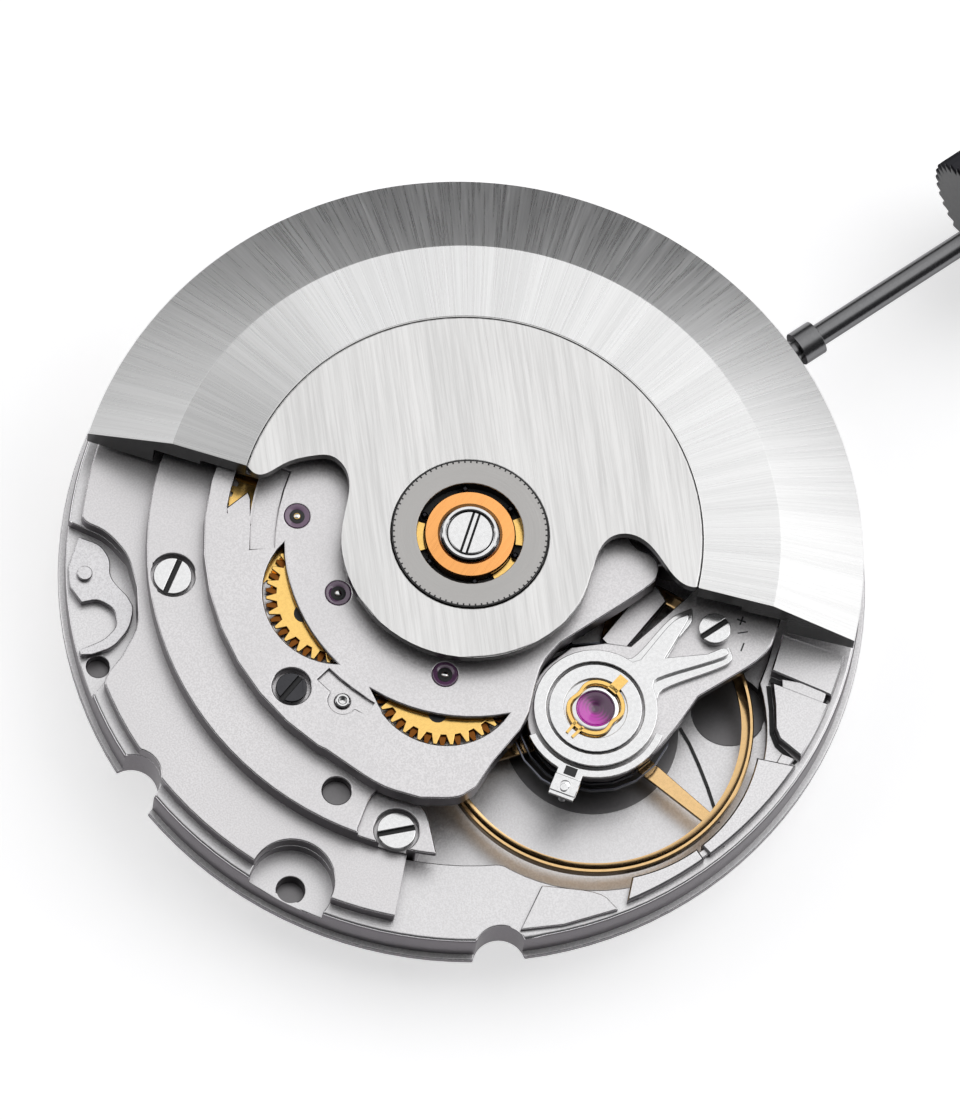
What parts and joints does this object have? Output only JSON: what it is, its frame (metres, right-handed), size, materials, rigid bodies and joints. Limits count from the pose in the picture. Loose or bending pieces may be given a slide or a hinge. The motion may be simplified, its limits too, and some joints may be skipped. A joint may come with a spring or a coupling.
{
  "type": "mechanical watch movement",
  "caption": "Self-winding mechanical watch movement with a bevelled winding weight on a ball bearing, layered bridges, a visible balance and a crown on its winding stem",
  "frame": {"origin": "on the centre axis at the dial seat, the lower face of the plate's flange", "axes": "+Z from the dial towards the winding weight, +X along the winding stem to the crown"},
  "size_m": [0.0363, 0.026, 0.0064],
  "materials": {
    "plate_metal": "nickel plated, fine blasted",
    "bridge_metal": "rhodium plated, fine blasted with bright bevels",
    "weight_plate_metal": "straight brushed",
    "weight_heavy_metal": "radially brushed",
    "bearing_steel": "satin",
    "race_copper": "copper coloured, satin",
    "ball_steel": "polished",
    "reverser_gold": "gilt",
    "train_brass": "satin",
    "balance_gold": "gilt, polished",
    "polished_steel": "polished",
    "blackened_steel": "blackened",
    "brushed_lever_steel": "fine brushed",
    "spring_alloy": "satin",
    "gilt_spring": "gilt",
    "jewel_ruby": "polished",
    "crown_steel": "dark satin",
    "date_white": "white lacquer"
  },
  "bodies": {
    "plate_and_bridges": {"main_plate": "plate_metal", "barrel_bridge": "bridge_metal", "train_bridge": "bridge_metal", "module_bridge": "bridge_metal", "module_lower_bridge": "bridge_metal", "balance_cock": "bridge_metal", "pallet_bridge": "plate_metal", "steady_pin": "polished_steel", "bearing_race": "race_copper", "shock_block": "polished_steel", "shock_spring": "gilt_spring", "post_screw": "polished_steel", "bearing_jewels": "jewel_ruby", "bridge_screws": "polished_steel", "module_screws": "blackened_steel", "hairspring": "spring_alloy"},
    "winding_weight": {"weight_segment": "weight_heavy_metal", "weight_plate": "weight_plate_metal", "weight_bearing": "bearing_steel", "bearing_balls": "ball_steel"},
    "first_upper_reverser": {"reverser_upper_a": "reverser_gold"},
    "second_upper_reverser": {"reverser_upper_b": "reverser_gold"},
    "first_lower_reverser": {"reverser_lower_a": "reverser_gold"},
    "second_lower_reverser": {"reverser_lower_b": "reverser_gold"},
    "reduction": {"reduction_wheel": "reverser_gold"},
    "driver": {"driver_wheel": "reverser_gold"},
    "ratchet": {"ratchet_wheel": "brushed_lever_steel", "barrel_arbor": "brushed_lever_steel"},
    "crown_gear": {"crown_wheel": "brushed_lever_steel"},
    "stem_pinion": {"winding_pinion": "brushed_lever_steel"},
    "stem_and_crown": {"winding_stem": "brushed_lever_steel", "crown": "crown_steel"},
    "clutch_pinion": {"sliding_pinion": "brushed_lever_steel"},
    "stem_lever": {"setting_lever": "brushed_lever_steel"},
    "clutch_yoke": {"yoke": "brushed_lever_steel"},
    "ratchet_click": {"click": "brushed_lever_steel"},
    "barrel": {"barrel_drum": "train_brass", "mainspring": "spring_alloy"},
    "centre": {"centre_wheel": "train_brass"},
    "third": {"third_wheel": "train_brass"},
    "seconds": {"seconds_wheel": "train_brass"},
    "escape": {"escape_wheel": "polished_steel"},
    "fork": {"pallet_fork": "polished_steel", "pallet_stones": "jewel_ruby"},
    "balance": {"balance_wheel": "balance_gold", "balance_staff": "polished_steel"},
    "index": {"regulator_index": "polished_steel"},
    "stud_arm": {"stud_holder": "polished_steel"},
    "index_eccentric": {"eccentric_screw": "polished_steel"},
    "cannon": {"cannon_pinion": "brushed_lever_steel"},
    "minute": {"minute_wheel": "train_brass"},
    "hour": {"hour_wheel": "train_brass"},
    "setting": {"setting_wheel": "brushed_lever_steel"},
    "idler": {"date_idler": "train_brass"},
    "date_driver": {"date_wheel": "train_brass"},
    "date_dial": {"date_ring": "date_white"},
    "jumper": {"date_jumper": "brushed_lever_steel"},
    "left_fastener": {"dial_fastener_a": "brushed_lever_steel"},
    "upper_fastener": {"dial_fastener_b": "brushed_lever_steel"}
  },
  "joints": [
    {"name": "weight_turn", "type": "hinge", "parent": "plate_and_bridges", "child": "winding_weight", "pos_m": [0, 0, 0], "axis": [0, 0, 1], "continuous": true},
    {"name": "first_upper_turn", "type": "hinge", "parent": "plate_and_bridges", "child": "first_upper_reverser", "pos_m": [-0.00441, 0.00099, 0], "axis": [0, 0, 1], "continuous": true},
    {"name": "second_upper_turn", "type": "hinge", "parent": "plate_and_bridges", "child": "second_upper_reverser", "pos_m": [-0.00319, -0.0032, 0], "axis": [0, 0, 1], "continuous": true},
    {"name": "first_lower_turn", "type": "hinge", "parent": "plate_and_bridges", "child": "first_lower_reverser", "pos_m": [-0.00441, 0.00099, 0], "axis": [0, 0, 1], "continuous": true},
    {"name": "second_lower_turn", "type": "hinge", "parent": "plate_and_bridges", "child": "second_lower_reverser", "pos_m": [-0.00319, -0.0032, 0], "axis": [0, 0, 1], "continuous": true},
    {"name": "reduction_turn", "type": "hinge", "parent": "plate_and_bridges", "child": "reduction", "pos_m": [-0.00398, 0.00388, 0], "axis": [0, 0, 1], "continuous": true},
    {"name": "driver_turn", "type": "hinge", "parent": "plate_and_bridges", "child": "driver", "pos_m": [-0.00153, 0.0054, 0], "axis": [0, 0, 1], "continuous": true},
    {"name": "ratchet_turn", "type": "hinge", "parent": "plate_and_bridges", "child": "ratchet", "pos_m": [0.00282, 0.0053, 0], "axis": [0, 0, 1], "continuous": true},
    {"name": "crown_gear_turn", "type": "hinge", "parent": "plate_and_bridges", "child": "crown_gear", "pos_m": [0.00547, 0, 0], "axis": [0, 0, 1], "continuous": true},
    {"name": "crown_turn", "type": "hinge", "parent": "plate_and_bridges", "child": "stem_pinion", "pos_m": [0.0073, 0, 0.0018], "axis": [1, 0, 0], "continuous": true},
    {"name": "crown_pull", "type": "slide", "parent": "stem_pinion", "child": "stem_and_crown", "axis": [1, 0, 0], "range_m": [0, 0.0005]},
    {"name": "clutch_slide", "type": "slide", "parent": "stem_pinion", "child": "clutch_pinion", "axis": [1, 0, 0], "range_m": [-0.0003, 0]},
    {"name": "stem_lever_turn", "type": "hinge", "parent": "plate_and_bridges", "child": "stem_lever", "pos_m": [0.0093, -0.0029, 0], "axis": [0, 0, 1], "range_deg": [-11.3, 0]},
    {"name": "yoke_turn", "type": "hinge", "parent": "plate_and_bridges", "child": "clutch_yoke", "pos_m": [0.00695, -0.00295, 0], "axis": [0, 0, 1], "range_deg": [0, 7.3]},
    {"name": "click_lift", "type": "hinge", "parent": "plate_and_bridges", "child": "ratchet_click", "pos_m": [-0.00202, 0.00734, 0], "axis": [0, 0, 1], "range_deg": [0, 8]},
    {"name": "barrel_turn", "type": "hinge", "parent": "plate_and_bridges", "child": "barrel", "pos_m": [0.00282, 0.0053, 0], "axis": [0, 0, 1], "continuous": true},
    {"name": "centre_turn", "type": "hinge", "parent": "plate_and_bridges", "child": "centre", "pos_m": [0, 0, 0], "axis": [0, 0, 1], "continuous": true},
    {"name": "third_turn", "type": "hinge", "parent": "plate_and_bridges", "child": "third", "pos_m": [-0.00326, -0.00152, 0], "axis": [0, 0, 1], "continuous": true},
    {"name": "seconds_turn", "type": "hinge", "parent": "plate_and_bridges", "child": "seconds", "pos_m": [0, 0, 0], "axis": [0, 0, 1], "continuous": true},
    {"name": "escape_turn", "type": "hinge", "parent": "plate_and_bridges", "child": "escape", "pos_m": [0.00298, -0.00185, 0], "axis": [0, 0, 1], "continuous": true},
    {"name": "fork_swing", "type": "hinge", "parent": "plate_and_bridges", "child": "fork", "pos_m": [0.00183, -0.00391, 0], "axis": [0, 0, 1], "range_deg": [-5, 5]},
    {"name": "balance_swing", "type": "hinge", "parent": "plate_and_bridges", "child": "balance", "pos_m": [0.00024, -0.00674, 0], "axis": [0, 0, 1], "range_deg": [-270, 270]},
    {"name": "index_turn", "type": "hinge", "parent": "plate_and_bridges", "child": "index", "pos_m": [0.00024, -0.00674, 0], "axis": [0, 0, 1], "range_deg": [-2, 2]},
    {"name": "stud_arm_turn", "type": "hinge", "parent": "plate_and_bridges", "child": "stud_arm", "pos_m": [0.00024, -0.00674, 0], "axis": [0, 0, 1], "range_deg": [-1.5, 1.5]},
    {"name": "eccentric_turn", "type": "hinge", "parent": "plate_and_bridges", "child": "index_eccentric", "pos_m": [0.005, -0.00667, 0], "axis": [0, 0, 1], "range_deg": [-90, 90]},
    {"name": "cannon_turn", "type": "hinge", "parent": "plate_and_bridges", "child": "cannon", "pos_m": [0, 0, 0], "axis": [0, 0, 1], "continuous": true},
    {"name": "minute_turn", "type": "hinge", "parent": "plate_and_bridges", "child": "minute", "pos_m": [0.0024, 0, 0], "axis": [0, 0, 1], "continuous": true},
    {"name": "hour_turn", "type": "hinge", "parent": "plate_and_bridges", "child": "hour", "pos_m": [0, 0, 0], "axis": [0, 0, 1], "continuous": true},
    {"name": "setting_turn", "type": "hinge", "parent": "plate_and_bridges", "child": "setting", "pos_m": [0.00498, 0, 0], "axis": [0, 0, 1], "continuous": true},
    {"name": "idler_turn", "type": "hinge", "parent": "plate_and_bridges", "child": "idler", "pos_m": [0.00063, 0.00355, 0], "axis": [0, 0, 1], "continuous": true},
    {"name": "date_driver_turn", "type": "hinge", "parent": "plate_and_bridges", "child": "date_driver", "pos_m": [-0.00416, 0.00512, 0], "axis": [0, 0, 1], "continuous": true},
    {"name": "date_dial_turn", "type": "hinge", "parent": "plate_and_bridges", "child": "date_dial", "pos_m": [0, 0, 0], "axis": [0, 0, 1], "continuous": true},
    {"name": "jumper_swing", "type": "hinge", "parent": "plate_and_bridges", "child": "jumper", "pos_m": [-0.00835, -0.00215, 0], "axis": [0, 0, 1], "range_deg": [0, 5]},
    {"name": "left_fastener_turn", "type": "hinge", "parent": "plate_and_bridges", "child": "left_fastener", "pos_m": [-0.01022, 0.00668, 0], "axis": [0, 0, 1], "range_deg": [-35, 0]},
    {"name": "upper_fastener_turn", "type": "hinge", "parent": "plate_and_bridges", "child": "upper_fastener", "pos_m": [-0.00166, 0.0121, 0], "axis": [0, 0, 1], "range_deg": [-35, 0]}
  ],
  "couplings": [
    {"joint": "first_upper_turn", "follows": "weight_turn", "ratio": -1.0741},
    {"joint": "second_upper_turn", "follows": "weight_turn", "ratio": -1.0741},
    {"joint": "first_lower_turn", "follows": "reduction_turn", "ratio": -4.5},
    {"joint": "second_lower_turn", "follows": "reduction_turn", "ratio": 4.5},
    {"joint": "driver_turn", "follows": "reduction_turn", "ratio": -0.2},
    {"joint": "ratchet_turn", "follows": "reduction_turn", "ratio": 0.032},
    {"joint": "crown_gear_turn", "follows": "reduction_turn", "ratio": -0.055172},
    {"joint": "crown_turn", "follows": "reduction_turn", "ratio": 0.11429},
    {"joint": "clutch_slide", "follows": "crown_pull", "ratio": -0.6},
    {"joint": "stem_lever_turn", "follows": "crown_pull", "rad_per_m": -391.6},
    {"joint": "yoke_turn", "follows": "crown_pull", "rad_per_m": 251.71},
    {"joint": "escape_turn", "follows": "seconds_turn", "ratio": -12},
    {"joint": "third_turn", "follows": "seconds_turn", "ratio": -0.13333},
    {"joint": "centre_turn", "follows": "seconds_turn", "ratio": 0.016667},
    {"joint": "barrel_turn", "follows": "seconds_turn", "ratio": -0.002381},
    {"joint": "cannon_turn", "follows": "seconds_turn", "ratio": 0.016667},
    {"joint": "minute_turn", "follows": "seconds_turn", "ratio": -0.0055556},
    {"joint": "hour_turn", "follows": "seconds_turn", "ratio": 0.0013889},
    {"joint": "setting_turn", "follows": "seconds_turn", "ratio": 0.012821},
    {"joint": "idler_turn", "follows": "seconds_turn", "ratio": -0.00092593},
    {"joint": "date_driver_turn", "follows": "seconds_turn", "ratio": 0.00069444}
  ]
}
